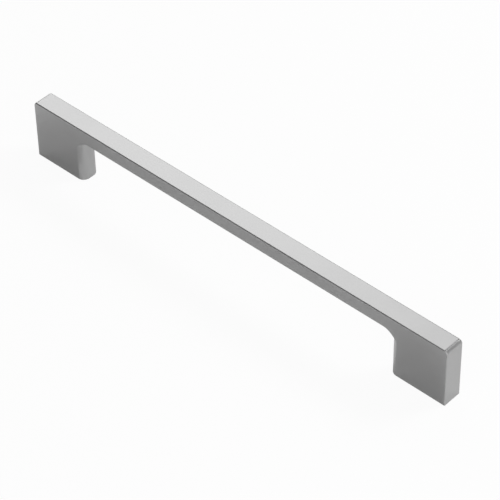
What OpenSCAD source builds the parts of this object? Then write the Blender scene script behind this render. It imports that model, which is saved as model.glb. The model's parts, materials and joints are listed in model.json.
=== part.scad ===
// Cabinet handle: a flat bar on two feet, one solid, screwed on from behind with two M4 screws.
// Millimetres. X runs along the bar, Z is the distance from the cabinet face, which is the plane z = 0.

/* [Bar] */
// Distance between the two screw holes, centre to centre
hole_spacing = 192; // [64:32:320]
// Width of the bar and of the feet
bar_w = 9; // [8:0.5:14]
// Thickness of the bar above the finger gap
bar_t = 6.4; // [5:0.2:10]

/* [Feet] */
// Length of each foot along the bar, with the screw hole at its middle
foot_len = 27; // [16:1:36]
// Height of the bar's top face above the cabinet face
projection = 28.4; // [24:0.2:40]
// Radius of the upright edges that face the finger gap
inner_edge_r = 3.3; // [1:0.1:3.8]
// Radius of the hollow blend from the foot to the underside of the bar
blend_r = 4.5; // [2:0.1:8]

/* [Outer edges] */
// Rounding of the two long edges of the top face
top_edge_r = 0.5; // [0.2:0.1:1]
// Rounding where the top face turns down into the end face
end_edge_r = 1.8; // [0.5:0.1:3]
// Rounding of the upright edges at the two ends
outer_edge_r = 0.4; // [0.3:0.1:2]

/* [Screw holes] */
// Core diameter of the M4 thread
thread_core_d = 3.3; // [3.2:0.05:3.5]
// Depth of the thread, measured from the foot's contact face
thread_depth = 13; // [8:0.5:18]
// Diameter of the countersink at the mouth
mouth_d = 4.6; // [4.1:0.1:5.5]

/* [Hidden] */
length = hole_spacing + foot_len;
underside_z = projection - bar_t;
inner_x = (hole_spacing - foot_len) / 2;
countersink = (mouth_d - thread_core_d) / 2;
drill_point = thread_core_d / 2 * tan(31);
spare = 1;
$fn = 96;

// Rectangle standing on y = 0 with its two upper corners rounded
module arch_outline(w, h, r) {
    translate([-w / 2, 0]) square([w, h - r]);
    translate([r - w / 2, 0]) square([w - 2 * r, h]);
    for (side = [-1, 1])
        translate([side * (w / 2 - r), h - r]) circle(r);
}

// Rectangle about the origin with all four corners rounded
module plate_outline(w, h, r) {
    square([w, h - 2 * r], center = true);
    square([w - 2 * r, h], center = true);
    for (side = [-1, 1], end = [-1, 1])
        translate([end * (w / 2 - r), side * (h / 2 - r)]) circle(r);
}

// Outside of the handle without the finger gap: its end view, side view and plan in one
module envelope() {
    intersection() {
        rotate([90, 0, 90]) linear_extrude(length + spare, center = true)
            arch_outline(bar_w, projection, top_edge_r);
        rotate([90, 0, 0]) linear_extrude(bar_w + spare, center = true)
            arch_outline(length, projection, end_edge_r);
        linear_extrude(projection + spare)
            plate_outline(length, bar_w, outer_edge_r);
    }
}

// Inner side of a foot from the axis of its rounded edge outwards: upright face, then the hollow blend
module inner_side_outline() {
    square([inner_edge_r, underside_z]);
    translate([inner_edge_r, underside_z - blend_r]) difference() {
        square(blend_r);
        translate([blend_r, 0]) circle(blend_r);
    }
}

// Left foot: the flat middle of its inner side is a straight run, its two inner edges are swept round
module foot() {
    edge_x = -inner_x - inner_edge_r;
    edge_y = bar_w / 2 - inner_edge_r;
    translate([edge_x - foot_len, -bar_w / 2 - spare, 0])
        cube([foot_len, bar_w + 2 * spare, underside_z]);
    translate([edge_x, 0, 0]) rotate([90, 0, 0])
        linear_extrude(2 * edge_y, center = true) inner_side_outline();
    for (side = [0, 1]) mirror([0, side, 0])
        translate([edge_x, edge_y, 0]) rotate_extrude(angle = 90) inner_side_outline();
}

// Blind tapped hole from the contact face, countersunk at the mouth, with a drill point at its end
module screw_hole() {
    translate([0, 0, -spare]) cylinder(d = thread_core_d, h = thread_depth + spare);
    translate([0, 0, thread_depth]) cylinder(d1 = thread_core_d, d2 = 0, h = drill_point);
    translate([0, 0, -spare])
        cylinder(d1 = mouth_d + 2 * spare, d2 = thread_core_d, h = countersink + spare);
}

module handle() {
    color([0.72, 0.72, 0.72]) difference() {
        intersection() {
            envelope();
            union() {
                translate([-length / 2 - spare, -bar_w / 2 - spare, underside_z])
                    cube([length + 2 * spare, bar_w + 2 * spare, bar_t + spare]);
                foot();
                mirror([1, 0, 0]) foot();
            }
        }
        for (end = [-1, 1]) translate([end * hole_spacing / 2, 0, 0]) screw_hole();
    }
}

handle();
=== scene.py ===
"""Cabinet handle: a flat bar on two feet in satin metal, with a tapped M4 hole in each foot."""

import json
import math
from collections import namedtuple

import bmesh
import bpy
from bpy.props import FloatProperty, FloatVectorProperty, IntProperty, PointerProperty
from bpy.types import Operator, Panel, PropertyGroup
from mathutils import Matrix, Vector


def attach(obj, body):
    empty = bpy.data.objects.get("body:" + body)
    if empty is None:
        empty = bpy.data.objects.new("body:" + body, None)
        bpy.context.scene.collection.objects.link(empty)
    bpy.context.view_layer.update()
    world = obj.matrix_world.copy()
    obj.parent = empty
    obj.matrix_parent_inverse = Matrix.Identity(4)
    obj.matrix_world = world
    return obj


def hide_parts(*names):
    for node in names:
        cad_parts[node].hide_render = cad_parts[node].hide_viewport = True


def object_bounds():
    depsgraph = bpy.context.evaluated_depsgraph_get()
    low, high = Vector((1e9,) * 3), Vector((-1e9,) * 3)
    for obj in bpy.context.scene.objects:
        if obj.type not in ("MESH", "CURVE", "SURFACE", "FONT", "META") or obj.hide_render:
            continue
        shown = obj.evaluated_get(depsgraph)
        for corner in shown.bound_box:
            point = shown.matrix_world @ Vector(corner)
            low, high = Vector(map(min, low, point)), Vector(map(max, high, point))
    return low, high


bl_info = {
    "name": "Cabinet Handle",
    "version": (1, 0, 0),
    "blender": (4, 5, 0),
    "location": "View3D > Sidebar > Handle",
    "description": "Builds a flat bar cabinet handle, its screw threads and a plain studio",
    "category": "Object",
}

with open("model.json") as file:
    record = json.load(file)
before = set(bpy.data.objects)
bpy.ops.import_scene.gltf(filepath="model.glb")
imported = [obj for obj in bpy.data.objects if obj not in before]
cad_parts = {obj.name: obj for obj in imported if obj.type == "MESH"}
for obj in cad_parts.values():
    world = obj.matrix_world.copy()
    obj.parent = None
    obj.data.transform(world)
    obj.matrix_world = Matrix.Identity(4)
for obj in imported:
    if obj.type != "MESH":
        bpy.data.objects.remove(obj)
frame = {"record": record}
CAD_BOX = [list(corner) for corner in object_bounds()]
MOUNTS = {mount["name"]: mount for mount in frame["record"]["mounts"]}

# Driving sizes from the frame, in metres
LENGTH = CAD_BOX[1][0] - CAD_BOX[0][0]
WIDTH = CAD_BOX[1][1] - CAD_BOX[0][1]
PROJECTION = CAD_BOX[1][2]
HOLE_SPACING = MOUNTS["screw_holes"]["dims"]["spacing_x_mm"] / 1000
CORE_RADIUS = MOUNTS["screw_hole_left"]["dims"]["r_mm"] / 1000


# Settings that a user would change


def distance(name, value, description):
    """A length property, stored in metres."""
    return FloatProperty(
        name=name, description=description, default=value, min=0.0,
        precision=5, subtype="DISTANCE", unit="LENGTH",
    )


def colour(name, value, description):
    """A colour property."""
    return FloatVectorProperty(
        name=name, description=description, default=value, size=3, min=0.0, max=1.0, subtype="COLOR",
    )


def blur(name, value, description):
    """A roughness property, from 0 for a mirror to 1 for a matt surface."""
    return FloatProperty(
        name=name, description=description, default=value, min=0.0, max=1.0, subtype="FACTOR",
    )


def degrees(name, value, description):
    """An angle property, given in degrees and stored in radians."""
    return FloatProperty(name=name, description=description, default=math.radians(value), subtype="ANGLE")


class HandleSizes(PropertyGroup):
    """The casting: bar, feet and rounded edges."""

    length: distance("Length", LENGTH, "Overall length of the handle")
    width: distance("Width", WIDTH, "Width of the bar and of the feet")
    projection: distance("Projection", PROJECTION, "Height of the top face above the cabinet face")
    bar_thickness: distance("Bar thickness", 0.0064, "Thickness of the bar above the finger gap")
    hole_spacing: distance("Hole spacing", HOLE_SPACING, "Distance between the two screw holes")
    inner_edge: distance("Inner edges", 0.0033, "Radius of the upright edges that face the finger gap")
    blend: distance("Blend", 0.0045, "Radius of the hollow blend from a foot to the underside")
    top_edge: distance("Top edges", 0.0005, "Rounding of the two long edges of the top face")
    end_edge: distance("End edges", 0.0018, "Rounding where the top face turns down into the end face")
    outer_edge: distance("Outer edges", 0.0004, "Rounding of the upright edges at the two ends")
    crisp_edge: distance("Crisp edges", 0.00015, "Rounding left on the edges that look sharp")
    arc_steps: IntProperty(
        name="Arc steps", description="Faces along each quarter arc", default=20, min=4, max=64,
    )


class ThreadSizes(PropertyGroup):
    """The tapped hole in each foot."""

    major_radius: distance("Major radius", 0.002, "Radius of the M4 thread at the bottom of its groove")
    core_radius: distance("Core radius", CORE_RADIUS, "Radius of the hole inside the thread")
    mouth_radius: distance("Mouth radius", 0.0023, "Radius of the countersink at the contact face")
    pitch: distance("Pitch", 0.0007, "Advance of the thread in one turn")
    depth: distance("Depth", 0.013, "Depth of the thread from the contact face")


class FinishSettings(PropertyGroup):
    """Colours and surface of the two metals."""

    satin: colour("Satin metal", (0.50, 0.50, 0.50), "Colour of the satin plating")
    satin_roughness: blur("Satin roughness", 0.30, "Blur of the plating's reflections")
    cut: colour("Cut metal", (0.42, 0.415, 0.40), "Colour of the bare metal in the tapped holes")
    cut_roughness: blur("Cut roughness", 0.30, "Blur of the bare metal's reflections")


class StudioSettings(PropertyGroup):
    """Floor and camera."""

    floor: colour("Floor", (0.8, 0.8, 0.8), "Colour of the floor")
    azimuth: degrees("Azimuth", 43.157, "Direction of the camera round the handle")
    elevation: degrees("Elevation", 43.031, "Height of the camera above the horizon")
    roll: degrees("Roll", -1.164, "Turn of the camera about its line of sight")
    place: FloatVectorProperty(
        name="Camera place", description="Where the camera stands",
        default=(0.48071, -0.50535, 0.66029), size=3, precision=5, subtype="TRANSLATION", unit="LENGTH",
    )
    lens: FloatProperty(
        name="Lens", description="Focal length for a 36 mm frame", default=173.31, min=10.0, unit="CAMERA",
    )


# Shader node helpers


def new_group(name, inputs, outputs):
    """An empty shader node group with the given sockets."""
    tree = bpy.data.node_groups.new(name, "ShaderNodeTree")
    for title, kind, value in inputs:
        tree.interface.new_socket(title, in_out="INPUT", socket_type=kind).default_value = value
    for title, kind in outputs:
        tree.interface.new_socket(title, in_out="OUTPUT", socket_type=kind)
    return tree, tree.nodes.new("NodeGroupInput"), tree.nodes.new("NodeGroupOutput")


def math_node(tree, operation, first, second=None):
    """A Math node whose inputs are sockets or numbers."""
    node = tree.nodes.new("ShaderNodeMath")
    node.operation = operation
    for socket, value in zip(node.inputs, (first, second)):
        if value is None:
            continue
        if isinstance(value, bpy.types.NodeSocket):
            tree.links.new(value, socket)
        else:
            socket.default_value = value
    return node.outputs[0]


# The two metals

# Detail of the fine grain, and scale and detail of the wide clouds
GRAIN_DETAIL = 2.0
CLOUD_SCALE = 60.0
CLOUD_DETAIL = 3.0

# Grain of each metal, by the names of the grain group's inputs. Size and depth are in metres
SATIN_GRAIN = {
    "Grain Size": 0.0003, "Grain Depth": 0.0000005, "Roughness Spread": 0.05, "Cloud Contrast": 0.02,
}
CUT_GRAIN = {
    "Grain Size": 0.00015, "Grain Depth": 0.000004, "Roughness Spread": 0.12, "Cloud Contrast": 0.10,
}


def satin_grain_group():
    """Fine blasted grain over soft, wide clouds: varies colour, roughness and normal a little."""
    inputs = [("Color", "NodeSocketColor", (0.5, 0.5, 0.5, 1.0)), ("Roughness", "NodeSocketFloat", 0.3)]
    inputs += [(title, "NodeSocketFloat", value) for title, value in SATIN_GRAIN.items()]
    outputs = [("Color", "NodeSocketColor"), ("Roughness", "NodeSocketFloat"), ("Normal", "NodeSocketVector")]
    tree, enter, leave = new_group("Satin grain", inputs, outputs)
    links = tree.links
    place = tree.nodes.new("ShaderNodeTexCoord").outputs["Object"]

    grain = tree.nodes.new("ShaderNodeTexNoise")
    grain.inputs["Detail"].default_value = GRAIN_DETAIL
    links.new(place, grain.inputs["Vector"])
    links.new(math_node(tree, "DIVIDE", 1.0, enter.outputs["Grain Size"]), grain.inputs["Scale"])

    cloud = tree.nodes.new("ShaderNodeTexNoise")
    cloud.inputs["Scale"].default_value = CLOUD_SCALE
    cloud.inputs["Detail"].default_value = CLOUD_DETAIL
    links.new(place, cloud.inputs["Vector"])

    # Both noises swing about one half, which is taken off
    grain_swing = math_node(tree, "SUBTRACT", grain.outputs["Fac"], 0.5)
    cloud_swing = math_node(tree, "SUBTRACT", cloud.outputs["Fac"], 0.5)

    both = math_node(tree, "ADD", grain_swing, cloud_swing)
    spread = math_node(tree, "MULTIPLY", both, enter.outputs["Roughness Spread"])
    links.new(math_node(tree, "ADD", enter.outputs["Roughness"], spread), leave.inputs["Roughness"])

    contrast = math_node(tree, "MULTIPLY", cloud_swing, enter.outputs["Cloud Contrast"])
    tint = tree.nodes.new("ShaderNodeVectorMath")
    tint.operation = "SCALE"
    links.new(enter.outputs["Color"], tint.inputs[0])
    links.new(math_node(tree, "ADD", 1.0, contrast), tint.inputs["Scale"])
    links.new(tint.outputs["Vector"], leave.inputs["Color"])

    bump = tree.nodes.new("ShaderNodeBump")
    bump.inputs["Strength"].default_value = 1.0
    links.new(enter.outputs["Grain Depth"], bump.inputs["Distance"])
    links.new(grain.outputs["Fac"], bump.inputs["Height"])
    links.new(bump.outputs["Normal"], leave.inputs["Normal"])
    return tree


def metal(name, group, tint, roughness, grain):
    """A metal whose colour, roughness and normal come from the grain group."""
    material = bpy.data.materials.new(name)
    material.use_nodes = True
    nodes, links = material.node_tree.nodes, material.node_tree.links
    shader = nodes["Principled BSDF"]
    shader.inputs["Metallic"].default_value = 1.0
    surface = nodes.new("ShaderNodeGroup")
    surface.node_tree = group
    surface.inputs["Color"].default_value = (*tint, 1.0)
    surface.inputs["Roughness"].default_value = roughness
    for title, value in grain.items():
        surface.inputs[title].default_value = value
    links.new(surface.outputs["Color"], shader.inputs["Base Color"])
    links.new(surface.outputs["Roughness"], shader.inputs["Roughness"])
    links.new(surface.outputs["Normal"], shader.inputs["Normal"])


def finishes():
    """The satin plating and the bare metal of the tapped holes, made once."""
    settings = bpy.context.scene.handle_finish
    if "satin_plating" not in bpy.data.materials:
        group = satin_grain_group()
        metal("satin_plating", group, settings.satin, settings.satin_roughness, SATIN_GRAIN)
        metal("cut_metal", group, settings.cut, settings.cut_roughness, CUT_GRAIN)
    return bpy.data.materials["satin_plating"], bpy.data.materials["cut_metal"]


# The casting

# Material slots of the casting
PLATING, CUT = 0, 1

# Faces over half the flat middle of a foot's inner side, round its crisp edge and round a bevelled edge
MIDDLE_STEPS = 4
CRISP_STEPS = 4
BEVEL_STEPS = 6

# Length of the cone that ends the thread, slope of the drill point, and share of its radius left at the tip
RUN_OUT = 0.0002
DRILL_SLOPE = math.tan(math.radians(31))
DRILL_TIP = 0.02

# Seams along the handle's middle are merged above this height, clear of the screw holes
CLEAR_OF_HOLES = 0.02

# Tolerances in metres and radians
TINY = 1e-7
MERGE_DISTANCE = 2e-6
SAME_DIRECTION = 1e-6
FLAT_ANGLE = 1e-3

# Only edges at least as sharp as the first angle get rounded, and those up to the second look smooth
CORNER_ANGLE = math.radians(60)
SMOOTH_ANGLE = math.radians(32)

# A bevel profile that is a true arc, and full weight for large faces in the shading
ROUND_PROFILE = 0.5
LARGE_FACE_WEIGHT = 100


def grid_faces(mesh, rows, material=PLATING):
    """Joins rows of equally many points with quads."""
    verts = [[mesh.verts.new(point) for point in row] for row in rows]
    for low, high in zip(verts, verts[1:]):
        for a, b, c, d in zip(low, low[1:], high[1:], high):
            mesh.faces.new((a, b, c, d)).material_index = material


def polygon(mesh, points):
    """One flat face of the plating."""
    mesh.faces.new([mesh.verts.new(point) for point in points]).material_index = PLATING


def turn(start, end, share):
    """The unit vector a share of the way round from start to end."""
    angle = start.angle(end, 0.0)
    if angle < SAME_DIRECTION:
        return end.copy()
    return (start * math.sin((1 - share) * angle) + end * math.sin(share * angle)) / math.sin(angle)


def inner_side_rows(s):
    """Rows of points up a foot's inner side and along the underside, and rows of the crisp edge beside them.

    Each row runs from the middle line round the foot's upright edge, which the blend widens as it rises. The
    crisp edge has the shape of a ball that rolls between the inner side and the side face. A row ends where
    the ball touches it, at the angle named limit.
    """
    steps, radius, blend, crisp = s.arc_steps, s.inner_edge, s.blend, s.crisp_edge
    foot_length = s.length - s.hole_spacing
    axis = Vector((s.hole_spacing / 2 - foot_length / 2 + radius, s.width / 2 - radius, 0))
    underside = s.projection - s.bar_thickness
    levels = [(0.0, 0.0), (0.0, (underside - blend) / 2)]
    levels += [(i * math.pi / 2 / steps, underside - blend) for i in range(steps + 1)]

    side_rows, edge_rows = [], []
    for angle, base in levels:
        reach = radius + blend * (1 - math.cos(angle))
        z = base + blend * math.sin(angle)
        ball_reach = radius + blend - (blend + crisp) * math.cos(angle)
        limit = math.asin(min(1.0, (radius - crisp) / ball_reach))

        row = [Vector((axis.x - reach, axis.y * i / MIDDLE_STEPS, z)) for i in range(MIDDLE_STEPS)]
        for i in range(steps + 1):
            a = limit * i / steps
            row.append(Vector((axis.x - reach * math.cos(a), axis.y + reach * math.sin(a), z)))
        side_rows.append(row)

        ball = Vector((
            axis.x - ball_reach * math.cos(limit),
            axis.y + ball_reach * math.sin(limit),
            base + (blend + crisp) * math.sin(angle),
        ))
        outward = Vector((
            -math.cos(limit) * math.cos(angle), math.sin(limit) * math.cos(angle), -math.sin(angle),
        ))

        # Round the ball, from where it touches the inner side to where it touches the side face
        edge_rows.append([
            ball + crisp * turn(outward, Vector((0, 1, 0)), i / CRISP_STEPS) for i in range(CRISP_STEPS + 1)
        ])

    # The underside of the bar and its crisp edge run on from the last rows to the middle of the handle
    side_rows.append([Vector((0, p.y, underside)) for p in side_rows[-1]])
    edge_rows.append([Vector((0, p.y, p.z)) for p in edge_rows[-1]])
    return side_rows, edge_rows


def outer_outline(s):
    """Side view of the outside: along the top, round the end and down to the contact face."""
    half_length, top, radius = s.length / 2, s.projection, s.end_edge
    outline = [(0.0, top)]
    for i in range(s.arc_steps + 1):
        a = math.pi / 2 * i / s.arc_steps
        outline.append((half_length - radius * (1 - math.sin(a)), top - radius * (1 - math.cos(a))))
    outline.append((half_length, 0.0))
    return outline


def screw_hole_rows(s, thread):
    """Half rings of points along the screw hole, from its countersunk mouth to the drill point."""
    hole_x, turns = s.hole_spacing / 2, 2 * s.arc_steps
    profile = [
        (thread.mouth_radius, 0.0),
        (thread.major_radius, thread.mouth_radius - thread.major_radius),
        (thread.major_radius, thread.depth),
        (thread.core_radius, thread.depth + RUN_OUT),
        (thread.core_radius * DRILL_TIP, thread.depth + thread.core_radius * DRILL_SLOPE),
    ]
    return [
        [Vector((hole_x + r * math.cos(math.pi * i / turns), r * math.sin(math.pi * i / turns), z))
         for i in range(turns + 1)]
        for r, z in profile
    ]


def quarter_casting(mesh, s, thread):
    """The quarter of the casting with x and y above 0. The outline of its side face is rounded later."""
    half_length, half_width = s.length / 2, s.width / 2
    side_rows, edge_rows = inner_side_rows(s)
    grid_faces(mesh, side_rows)
    grid_faces(mesh, edge_rows)

    # Side face, then the strip that runs along the top, round the end and down to the contact face
    outline = outer_outline(s)
    polygon(mesh, [row[-1] for row in edge_rows] + [Vector((x, half_width, z)) for x, z in outline])
    grid_faces(mesh, [[Vector((x, y, z)) for y in (0, half_width)] for x, z in outline])

    # Screw hole, then the contact face between the foot's outline and the mouth
    hole_rows = screw_hole_rows(s, thread)
    grid_faces(mesh, hole_rows, CUT)
    end_corners = [Vector((half_length, half_width, 0)), Vector((half_length, 0, 0))]
    polygon(mesh, side_rows[0] + end_corners + hole_rows[0])


def mirror_quarter(mesh):
    """Completes the casting on both sides of its two middle planes, and closes the drill points' tips."""
    for across in ((0, 1, 0), (1, 0, 0)):
        copy = bmesh.ops.duplicate(mesh, geom=mesh.verts[:] + mesh.edges[:] + mesh.faces[:])
        copied = [item for item in copy["geom"] if isinstance(item, bmesh.types.BMVert)]
        bmesh.ops.transform(mesh, matrix=Matrix.Scale(-1, 4, across), verts=copied)
    bmesh.ops.remove_doubles(mesh, verts=mesh.verts, dist=MERGE_DISTANCE)
    bmesh.ops.holes_fill(mesh, edges=[edge for edge in mesh.edges if edge.is_boundary], sides=0)
    bmesh.ops.recalc_face_normals(mesh, faces=mesh.faces)


def lies_at(edge, axis, reach):
    """Whether an edge lies this far from the middle of the handle along an axis, on either side."""
    return all(abs(abs(getattr(vert.co, axis)) - reach) < TINY for vert in edge.verts)


def merge_flat_faces(mesh, s):
    """Dissolves the seams that mirroring left in flat faces, clear of the screw holes."""
    seams = []
    for edge in mesh.edges:
        flat = len(edge.link_faces) == 2 and edge.calc_face_angle(0.0) < FLAT_ANGLE
        high = all(vert.co.z > CLEAR_OF_HOLES for vert in edge.verts)
        on_end = lies_at(edge, "x", s.length / 2)
        if flat and (lies_at(edge, "x", 0.0) or lies_at(edge, "y", 0.0) and (high or on_end)):
            seams.append(edge)
    bmesh.ops.dissolve_edges(mesh, edges=seams, use_verts=True)


def weigh_edges(mesh, s):
    """Weighs each edge that gets rounded by its radius, as a share of the largest one, which it returns."""
    weight = mesh.edges.layers.float.new("bevel_weight_edge")
    largest = max(s.top_edge, s.outer_edge, s.crisp_edge)
    for edge in mesh.edges:
        if edge.calc_face_angle(0.0) < CORNER_ANGLE:
            continue
        middle = (edge.verts[0].co + edge.verts[1].co) / 2
        past_along = s.end_edge - s.length / 2 + abs(middle.x)
        past_up = s.end_edge - s.projection + middle.z
        if middle.z < TINY and all(face.material_index == PLATING for face in edge.link_faces):
            edge[weight] = s.crisp_edge / largest
        elif abs(abs(middle.y) - s.width / 2) < TINY and max(past_along, past_up) > 0:
            # Round the end, the radius passes evenly from that of the top edge to that of the outer edge
            share = math.atan2(max(0.0, past_along), max(0.0, past_up)) / (math.pi / 2)
            edge[weight] = (s.top_edge + (s.outer_edge - s.top_edge) * share) / largest
    return largest


def finish_shape(piece):
    """Turns the piece's evaluated shape into its own plain mesh and drops its modifiers."""
    graph = bpy.context.evaluated_depsgraph_get()
    shape = bpy.data.meshes.new_from_object(piece.evaluated_get(graph), depsgraph=graph)
    piece.modifiers.clear()
    piece.data = shape
    shape.name = piece.name


class HANDLE_OT_casting(Operator):
    """Build the bar and feet as one casting"""

    bl_idname = "handle.casting"
    bl_label = "Casting"

    def execute(self, context):
        sizes = context.scene.handle_sizes
        mesh = bmesh.new()
        quarter_casting(mesh, sizes, context.scene.handle_thread)
        mirror_quarter(mesh)
        merge_flat_faces(mesh, sizes)
        largest = weigh_edges(mesh, sizes)

        data = bpy.data.meshes.new("handle_casting")
        mesh.to_mesh(data)
        mesh.free()
        for material in finishes():
            data.materials.append(material)
        piece = bpy.data.objects.new("handle_casting", data)
        context.scene.collection.objects.link(piece)

        bevel = piece.modifiers.new("Rounded edges", "BEVEL")
        bevel.limit_method = "WEIGHT"
        bevel.width = largest
        bevel.segments = BEVEL_STEPS
        bevel.profile = ROUND_PROFILE
        bevel.use_clamp_overlap = False
        finish_shape(piece)
        piece.data.shade_smooth()
        piece.data.set_sharp_from_angle(angle=SMOOTH_ANGLE)
        smooth = piece.modifiers.new("Even faces", "WEIGHTED_NORMAL")
        smooth.keep_sharp = True
        smooth.weight = LARGE_FACE_WEIGHT
        finish_shape(piece)

        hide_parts("handle")
        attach(piece, "root")
        return {"FINISHED"}


# The screw threads

# Faces round one turn, and the angle up to which the ridge looks smooth
THREAD_STEPS = 40
THREAD_SMOOTH_ANGLE = math.radians(25)

# Section of the ridge: widths as shares of the pitch, and how deep its root is sunk in the wall, in metres
ROOT_WIDTH = 0.875
CREST_WIDTH = 0.25
ROOT_DEPTH = 0.00001

# Clearance at both ends of the thread, as a share of the pitch
END_CLEARANCE = 0.5

# Share of the thread's run over which the ridge swells to full size, and its size at the very end
SWELL_RUN = 0.05
SWELL_START = 0.02


def thread_path(tree, enter):
    """A helix on the wall of the hole. The ridge swells over its first turn and dies away over its last."""
    nodes, links = tree.nodes, tree.links
    run = math_node(tree, "SUBTRACT", enter.outputs["Depth"], enter.outputs["Start"])
    spiral = nodes.new("GeometryNodeCurveSpiral")
    spiral.inputs["Resolution"].default_value = THREAD_STEPS
    links.new(math_node(tree, "DIVIDE", run, enter.outputs["Pitch"]), spiral.inputs["Rotations"])
    links.new(enter.outputs["Major Radius"], spiral.inputs["Start Radius"])
    links.new(enter.outputs["Major Radius"], spiral.inputs["End Radius"])
    links.new(run, spiral.inputs["Height"])

    upright = nodes.new("GeometryNodeSetCurveNormal")
    upright.mode = "Z_UP"
    links.new(spiral.outputs["Curve"], upright.inputs["Curve"])

    share = nodes.new("GeometryNodeSplineParameter").outputs["Factor"]
    from_middle = math_node(tree, "ABSOLUTE", math_node(tree, "SUBTRACT", share, 0.5))
    from_end = math_node(tree, "SUBTRACT", 0.5, from_middle)
    swell = nodes.new("ShaderNodeMapRange")
    swell.interpolation_type = "SMOOTHSTEP"
    swell.inputs["From Max"].default_value = SWELL_RUN
    swell.inputs["To Min"].default_value = SWELL_START
    links.new(from_end, swell.inputs["Value"])
    taper = nodes.new("GeometryNodeSetCurveRadius")
    links.new(upright.outputs["Curve"], taper.inputs["Curve"])
    links.new(swell.outputs["Result"], taper.inputs["Radius"])
    return taper.outputs["Curve"]


def thread_section(tree, enter):
    """The ridge's section: wide root on the wall of the hole, narrow flat crest at the core radius."""
    nodes, links = tree.nodes, tree.links
    ridge = math_node(tree, "SUBTRACT", enter.outputs["Major Radius"], enter.outputs["Core Radius"])
    section = nodes.new("GeometryNodeCurvePrimitiveQuadrilateral")
    section.mode = "TRAPEZOID"
    root = math_node(tree, "MULTIPLY", enter.outputs["Pitch"], ROOT_WIDTH)
    crest = math_node(tree, "MULTIPLY", enter.outputs["Pitch"], CREST_WIDTH)
    links.new(root, section.inputs["Bottom Width"])
    links.new(crest, section.inputs["Top Width"])
    links.new(ridge, section.inputs["Height"])
    section.inputs["Offset"].default_value = 0.0

    lift = nodes.new("ShaderNodeCombineXYZ")
    links.new(math_node(tree, "MULTIPLY", ridge, 0.5), lift.inputs["X"])
    place = nodes.new("GeometryNodeTransform")
    place.inputs["Rotation"].default_value = (0.0, 0.0, -math.pi / 2)
    links.new(section.outputs["Curve"], place.inputs["Geometry"])
    links.new(lift.outputs["Vector"], place.inputs["Translation"])
    return place.outputs["Geometry"]


def one_in_each_foot(tree, enter, thread):
    """Copies the thread to both screw holes."""
    nodes, links = tree.nodes, tree.links
    first, stride = nodes.new("ShaderNodeCombineXYZ"), nodes.new("ShaderNodeCombineXYZ")
    links.new(math_node(tree, "MULTIPLY", enter.outputs["Hole Spacing"], -0.5), first.inputs["X"])
    links.new(enter.outputs["Start"], first.inputs["Z"])
    links.new(enter.outputs["Hole Spacing"], stride.inputs["X"])
    holes = nodes.new("GeometryNodeMeshLine")
    holes.inputs["Count"].default_value = 2
    links.new(first.outputs["Vector"], holes.inputs["Start Location"])
    links.new(stride.outputs["Vector"], holes.inputs["Offset"])
    copies = nodes.new("GeometryNodeInstanceOnPoints")
    links.new(holes.outputs["Mesh"], copies.inputs["Points"])
    links.new(thread, copies.inputs["Instance"])
    return copies.outputs["Instances"]


def thread_tree(material):
    """Geometry nodes for a tapering helical ridge in each screw hole."""
    tree = bpy.data.node_groups.new("Screw threads", "GeometryNodeTree")
    for title in ("Major Radius", "Core Radius", "Pitch", "Start", "Depth", "Hole Spacing"):
        tree.interface.new_socket(title, in_out="INPUT", socket_type="NodeSocketFloat")
    tree.interface.new_socket("Geometry", in_out="OUTPUT", socket_type="NodeSocketGeometry")
    nodes, links = tree.nodes, tree.links
    enter, leave = nodes.new("NodeGroupInput"), nodes.new("NodeGroupOutput")

    sweep = nodes.new("GeometryNodeCurveToMesh")
    sweep.inputs["Fill Caps"].default_value = True
    links.new(thread_path(tree, enter), sweep.inputs["Curve"])
    links.new(thread_section(tree, enter), sweep.inputs["Profile Curve"])

    real = nodes.new("GeometryNodeRealizeInstances")
    links.new(one_in_each_foot(tree, enter, sweep.outputs["Mesh"]), real.inputs["Geometry"])
    dress = nodes.new("GeometryNodeSetMaterial")
    dress.inputs["Material"].default_value = material
    links.new(real.outputs["Geometry"], dress.inputs["Geometry"])
    links.new(dress.outputs["Geometry"], leave.inputs["Geometry"])
    return tree


class HANDLE_OT_threads(Operator):
    """Cut an M4 thread into each screw hole"""

    bl_idname = "handle.threads"
    bl_label = "Screw threads"

    def execute(self, context):
        thread = context.scene.handle_thread
        piece = bpy.data.objects.new("screw_threads", bpy.data.meshes.new("screw_threads"))
        context.scene.collection.objects.link(piece)
        tree = thread_tree(finishes()[CUT])
        modifier = piece.modifiers.new("Threads", "NODES")
        modifier.node_group = tree
        countersink = thread.mouth_radius - thread.major_radius
        values = {
            "Major Radius": thread.major_radius + ROOT_DEPTH,
            "Core Radius": thread.core_radius,
            "Pitch": thread.pitch,
            "Start": countersink + thread.pitch * END_CLEARANCE,
            "Depth": thread.depth - thread.pitch * END_CLEARANCE,
            "Hole Spacing": context.scene.handle_sizes.hole_spacing,
        }
        for item in tree.interface.items_tree:
            if item.in_out == "INPUT":
                modifier[item.identifier] = values[item.name]
        finish_shape(piece)
        piece.data.shade_smooth()
        piece.data.set_sharp_from_angle(angle=THREAD_SMOOTH_ANGLE)
        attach(piece, "root")
        return {"FINISHED"}


# The studio

# Half the floor's side, and how far it lies below the contact faces, in metres
FLOOR_REACH = 6.0
FLOOR_DROP = 0.00002

# How much of the white background reflections see, and how much of it the floor shows
WHITE_IN_GLOSS = 0.03
WHITE_OF_FLOOR = 0.94

WHITE = (1.0, 1.0, 1.0, 1.0)
SURROUNDINGS = (0.12, 0.12, 0.12, 1.0)

# Distance of the lamps from the middle of the handle, and the point that they face
LAMP_DISTANCE = 1.3
LAMP_AIM = Vector((0, 0, 0.02))

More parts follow.
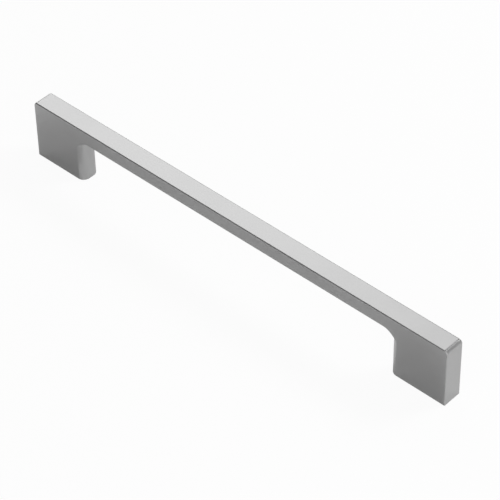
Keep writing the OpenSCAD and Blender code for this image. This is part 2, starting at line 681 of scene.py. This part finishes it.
# Azimuth and elevation in degrees, side in metres, brightness, and whether reflections show the lamp
Lamp = namedtuple("Lamp", "azimuth elevation side radiance glossy")
LAMPS = {
    "softbox": Lamp(137, 43, 0.8, 1.37, True),
    "back_lamp": Lamp(75, 40, 0.5, 3.3, True),
    "low_back_lamp": Lamp(38, 20, 1.0, 0.38, True),
    "low_left_lamp": Lamp(146, 12, 0.5, 1.3, True),
    "side_lamp": Lamp(335, 22, 0.9, 1.8, True),
    "front_lamp": Lamp(295, 38, 1.2, 0.75, True),
    "top_lamp": Lamp(290, 84, 0.9, 0.5, True),
    "fill_lamp": Lamp(55, 40, 0.35, 19.5, False),
}

# The camera's frame width in millimetres, and the nearest and furthest that it sees, in metres
FRAME_WIDTH = 36.0
CLIP_START, CLIP_END = 0.05, 50.0


def direction(azimuth, elevation):
    """Unit vector from the handle towards an azimuth, counted from +X towards +Y, and an elevation."""
    a, e = math.radians(azimuth), math.radians(elevation)
    return Vector((math.cos(a) * math.cos(e), math.sin(a) * math.cos(e), math.sin(e)))


def soft_lamp(scene, name, lamp):
    """A square lamp facing the handle. Its power is set from how bright it looks, so its side is free."""
    place = LAMP_DISTANCE * direction(lamp.azimuth, lamp.elevation)
    data = bpy.data.lights.new(name, "AREA")
    data.shape = "SQUARE"
    data.size = lamp.side
    data.energy = lamp.radiance * lamp.side * lamp.side * math.pi
    light = bpy.data.objects.new(name, data)
    light.location = place
    light.rotation_mode = "QUATERNION"
    light.rotation_quaternion = (LAMP_AIM - place).to_track_quat("-Z", "Y")
    light.visible_camera = False
    light.visible_glossy = lamp.glossy
    scene.collection.objects.link(light)


def background_share(tree):
    """How much of the white background a ray sees: all for the camera and through glass, some in gloss."""
    path = tree.nodes.new("ShaderNodeLightPath")
    seen = math_node(tree, "MAXIMUM", path.outputs["Is Camera Ray"], path.outputs["Is Transmission Ray"])
    mirrored = math_node(tree, "MULTIPLY", path.outputs["Is Glossy Ray"], WHITE_IN_GLOSS)
    return math_node(tree, "MAXIMUM", seen, mirrored)


def mix_with_white(tree, share, plain, white, output):
    """Sends a plain shader to the output, with a white one mixed in by the share."""
    blend = tree.nodes.new("ShaderNodeMixShader")
    tree.links.new(share, blend.inputs[0])
    tree.links.new(plain, blend.inputs[1])
    tree.links.new(white, blend.inputs[2])
    tree.links.new(blend.outputs["Shader"], output)


def floor_material(tint):
    """Matt floor that the camera sees nearly as white, with the handle's shadow left on it."""
    material = bpy.data.materials.new("floor_white")
    material.use_nodes = True
    tree = material.node_tree
    shader = tree.nodes["Principled BSDF"]
    shader.inputs["Base Color"].default_value = (*tint, 1.0)
    shader.inputs["Roughness"].default_value = 1.0
    shader.inputs["Specular IOR Level"].default_value = 0.0
    glow = tree.nodes.new("ShaderNodeEmission")
    glow.inputs["Color"].default_value = WHITE
    glow.inputs["Strength"].default_value = 1.0
    share = math_node(tree, "MULTIPLY", background_share(tree), WHITE_OF_FLOOR)
    output = tree.nodes["Material Output"].inputs["Surface"]
    mix_with_white(tree, share, shader.outputs["BSDF"], glow.outputs["Emission"], output)
    return material


def lay_floor(scene, tint):
    """A plain floor just under the contact faces."""
    mesh = bmesh.new()
    below = Matrix.Translation((0, 0, -FLOOR_DROP))
    bmesh.ops.create_grid(mesh, x_segments=1, y_segments=1, size=FLOOR_REACH, matrix=below)
    data = bpy.data.meshes.new("floor")
    mesh.to_mesh(data)
    mesh.free()
    data.materials.append(floor_material(tint))
    floor = bpy.data.objects.new("floor", data)
    scene.collection.objects.link(floor)


def surround(scene):
    """Grey surroundings that the camera sees as white."""
    world = bpy.data.worlds.new("studio")
    scene.world = world
    world.use_nodes = True
    tree = world.node_tree
    grey, white = tree.nodes["Background"], tree.nodes.new("ShaderNodeBackground")
    grey.inputs["Color"].default_value = SURROUNDINGS
    white.inputs["Color"].default_value = WHITE
    share = background_share(tree)
    output = tree.nodes["World Output"].inputs["Surface"]
    mix_with_white(tree, share, grey.outputs["Background"], white.outputs["Background"], output)


def set_camera(scene, s):
    """A camera at its place, turned by its azimuth, elevation and roll."""
    data = bpy.data.cameras.new("camera")
    data.lens = s.lens
    data.sensor_width = FRAME_WIDTH
    data.clip_start, data.clip_end = CLIP_START, CLIP_END
    camera = bpy.data.objects.new("camera", data)
    back = Vector((
        math.sin(s.azimuth) * math.cos(s.elevation),
        -math.cos(s.azimuth) * math.cos(s.elevation),
        math.sin(s.elevation),
    ))
    side = Vector((0, 0, 1)).cross(back).normalized()
    up = back.cross(side)
    right = side * math.cos(s.roll) + up * math.sin(s.roll)
    upward = up * math.cos(s.roll) - side * math.sin(s.roll)
    camera.rotation_mode = "QUATERNION"
    camera.location = s.place
    camera.rotation_quaternion = Matrix((right, upward, back)).transposed().to_quaternion()
    scene.collection.objects.link(camera)
    scene.camera = camera


class HANDLE_OT_studio(Operator):
    """Set up the floor, the lamps and the camera"""

    bl_idname = "handle.studio"
    bl_label = "Studio"

    def execute(self, context):
        scene, settings = context.scene, context.scene.handle_studio
        lay_floor(scene, settings.floor)
        surround(scene)
        for name, lamp in LAMPS.items():
            soft_lamp(scene, name, lamp)
        set_camera(scene, settings)
        scene.view_settings.view_transform = "Standard"
        return {"FINISHED"}


# The add-on


class HANDLE_PT_panel(Panel):
    """Lists the steps that build the handle"""

    bl_idname = "HANDLE_PT_panel"
    bl_label = "Cabinet Handle"
    bl_space_type = "VIEW_3D"
    bl_region_type = "UI"
    bl_category = "Handle"

    def draw(self, context):
        for step in STEPS:
            self.layout.operator(step.bl_idname)


STEPS = (HANDLE_OT_casting, HANDLE_OT_threads, HANDLE_OT_studio)
SETTINGS = {
    "handle_sizes": HandleSizes,
    "handle_thread": ThreadSizes,
    "handle_finish": FinishSettings,
    "handle_studio": StudioSettings,
}


def register():
    """Adds the settings, the steps and the panel to Blender."""
    for group in (*SETTINGS.values(), *STEPS, HANDLE_PT_panel):
        bpy.utils.register_class(group)
    for name, group in SETTINGS.items():
        setattr(bpy.types.Scene, name, PointerProperty(type=group))


def unregister():
    """Takes them out again."""
    for name in SETTINGS:
        delattr(bpy.types.Scene, name)
    for group in reversed((*SETTINGS.values(), *STEPS, HANDLE_PT_panel)):
        bpy.utils.unregister_class(group)


def main():
    """Registers the add-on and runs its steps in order."""
    register()
    bpy.ops.handle.casting()
    bpy.ops.handle.threads()
    bpy.ops.handle.studio()


if __name__ == "__main__":
    main()
